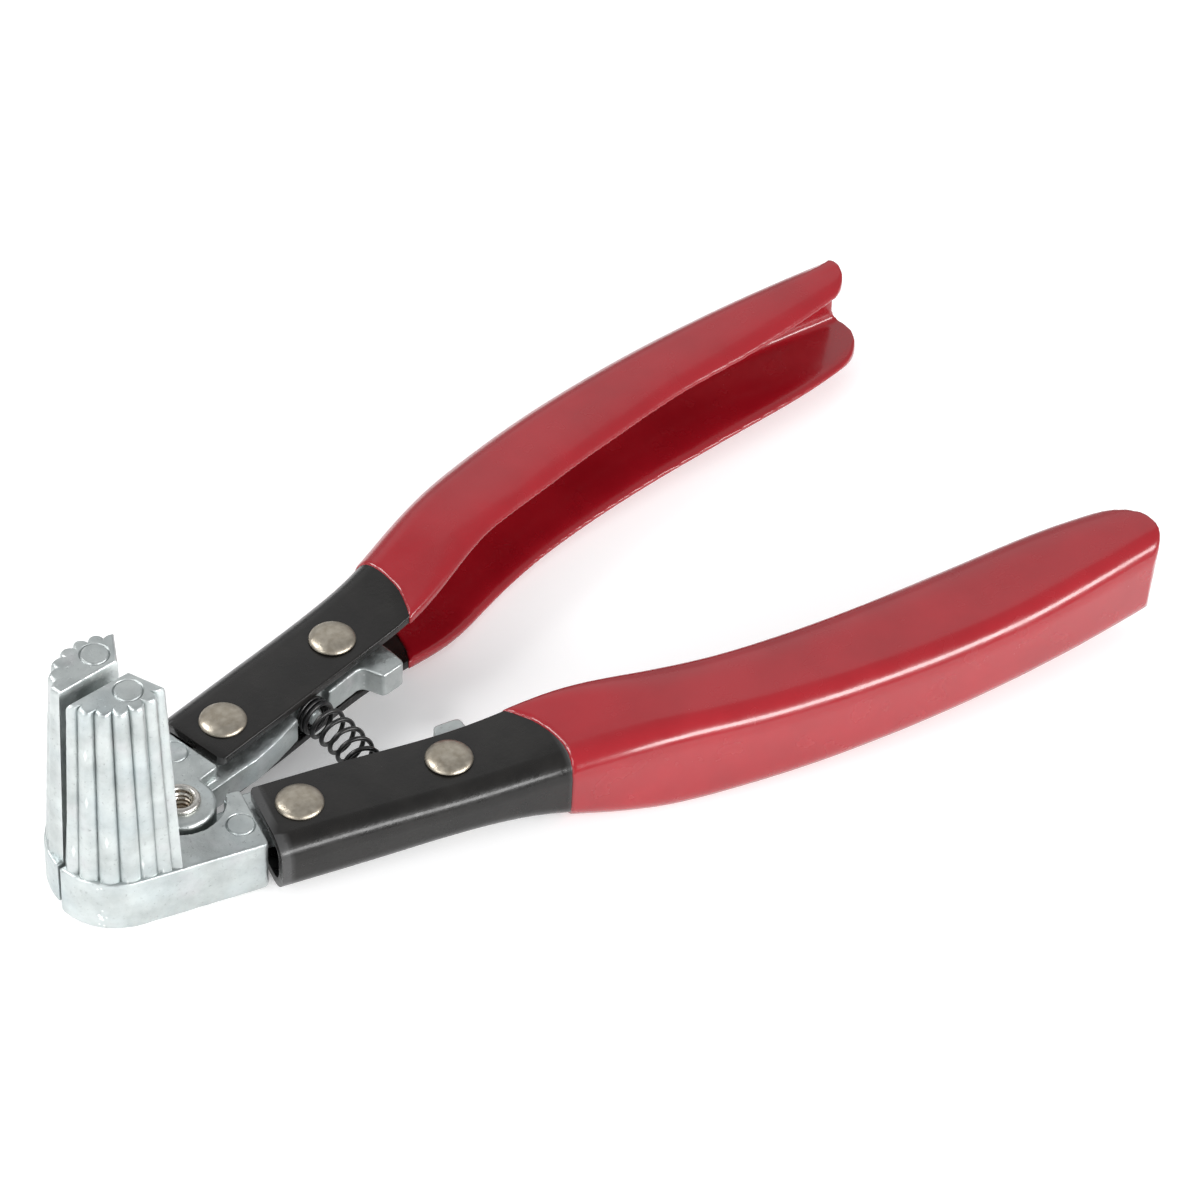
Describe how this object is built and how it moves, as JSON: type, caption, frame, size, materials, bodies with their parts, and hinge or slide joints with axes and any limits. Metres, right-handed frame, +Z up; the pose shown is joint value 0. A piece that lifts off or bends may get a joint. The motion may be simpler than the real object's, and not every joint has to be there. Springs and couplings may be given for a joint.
{
  "type": "expanding piston pliers",
  "caption": "Expanding pliers: two fluted half-round heads stand upright on a pivoted jaw pair, with dipped channel handles and a return coil spring.",
  "frame": {"origin": "on the pivot axis, at the flat factory head of the pivot rivet, level with the jaws' underside", "axes": "+X towards the handle ends, +Y towards the back half, +Z up through the two heads"},
  "size_m": [0.2, 0.0972, 0.0521],
  "materials": {
    "zinc_casting": "zinc-plated casting, satin",
    "black_lacquer": "gloss black lacquer on pressed steel",
    "red_dip": "gloss dipped soft plastic",
    "nickel_rivet": "nickel-plated, satin",
    "bright_rivet": "bright rolled steel",
    "spring_wire": "black oiled spring steel"
  },
  "bodies": {
    "front_half": {"jaw_front": "zinc_casting", "handle_front": "black_lacquer", "grip_front": "red_dip", "rivet_front_nose": "nickel_rivet", "rivet_front_rear": "nickel_rivet", "pivot_rivet": "bright_rivet", "return_spring": "spring_wire"},
    "back_half": {"jaw_back": "zinc_casting", "handle_back": "black_lacquer", "grip_back": "red_dip", "rivet_back_nose": "nickel_rivet", "rivet_back_rear": "nickel_rivet"}
  },
  "joints": [
    {"name": "jaw_pivot", "type": "hinge", "parent": "front_half", "child": "back_half", "pos_m": [0, 0, 0], "axis": [0, 0, -1], "range_deg": [0, 17.5], "stiffness_Nm_per_rad": 1.5, "springref_deg": -5.73, "deforming": ["return_spring"]}
  ]
}
